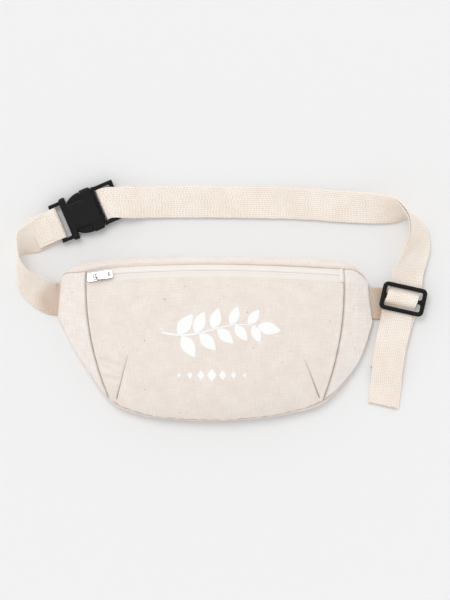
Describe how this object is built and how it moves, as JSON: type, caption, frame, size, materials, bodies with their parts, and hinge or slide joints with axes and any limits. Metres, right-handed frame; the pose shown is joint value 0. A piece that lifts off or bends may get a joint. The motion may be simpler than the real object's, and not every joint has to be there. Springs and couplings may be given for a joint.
{
  "type": "belt bag",
  "caption": "Canvas belt bag lying on its back, with a zip along the top, a webbing belt with a side release buckle and a strap adjuster.",
  "frame": {"origin": "middle of the flat underside of the back panel, on the surface that the bag lies on", "axes": "+Z out of the bag's front, +Y towards the zip and the belt's top run, +X towards the wing beside the strap adjuster"},
  "size_m": [0.3954, 0.23, 0.031],
  "materials": {
    "canvas": "natural cotton canvas",
    "zip_tape": "woven tape",
    "zip_coil": "moulded coil",
    "nickel": "polished",
    "webbing": "natural cotton webbing",
    "black_plastic": "satin"
  },
  "bodies": {
    "bag": {"front_panel": "canvas", "back_panel": "canvas", "wing_left": "canvas", "wing_right": "canvas", "top_strip": "canvas", "zip_tape_upper": "zip_tape", "zip_tape_lower": "zip_tape", "zip_end_tab": "zip_tape", "zip_coil": "zip_coil", "zip_slider": "nickel", "strap_left": "webbing", "strap_long": "webbing", "buckle_female": "black_plastic", "buckle_male": "black_plastic", "tri_glide": "black_plastic"},
    "pull_tab": {"zip_pull": "nickel"}
  },
  "joints": [
    {"name": "pull_hinge", "type": "hinge", "parent": "bag", "child": "pull_tab", "pos_m": [-0.11385, 0.0597, 0.021], "axis": [0.1184, -0.9719, 0.2034], "range_deg": [0, 150]}
  ]
}
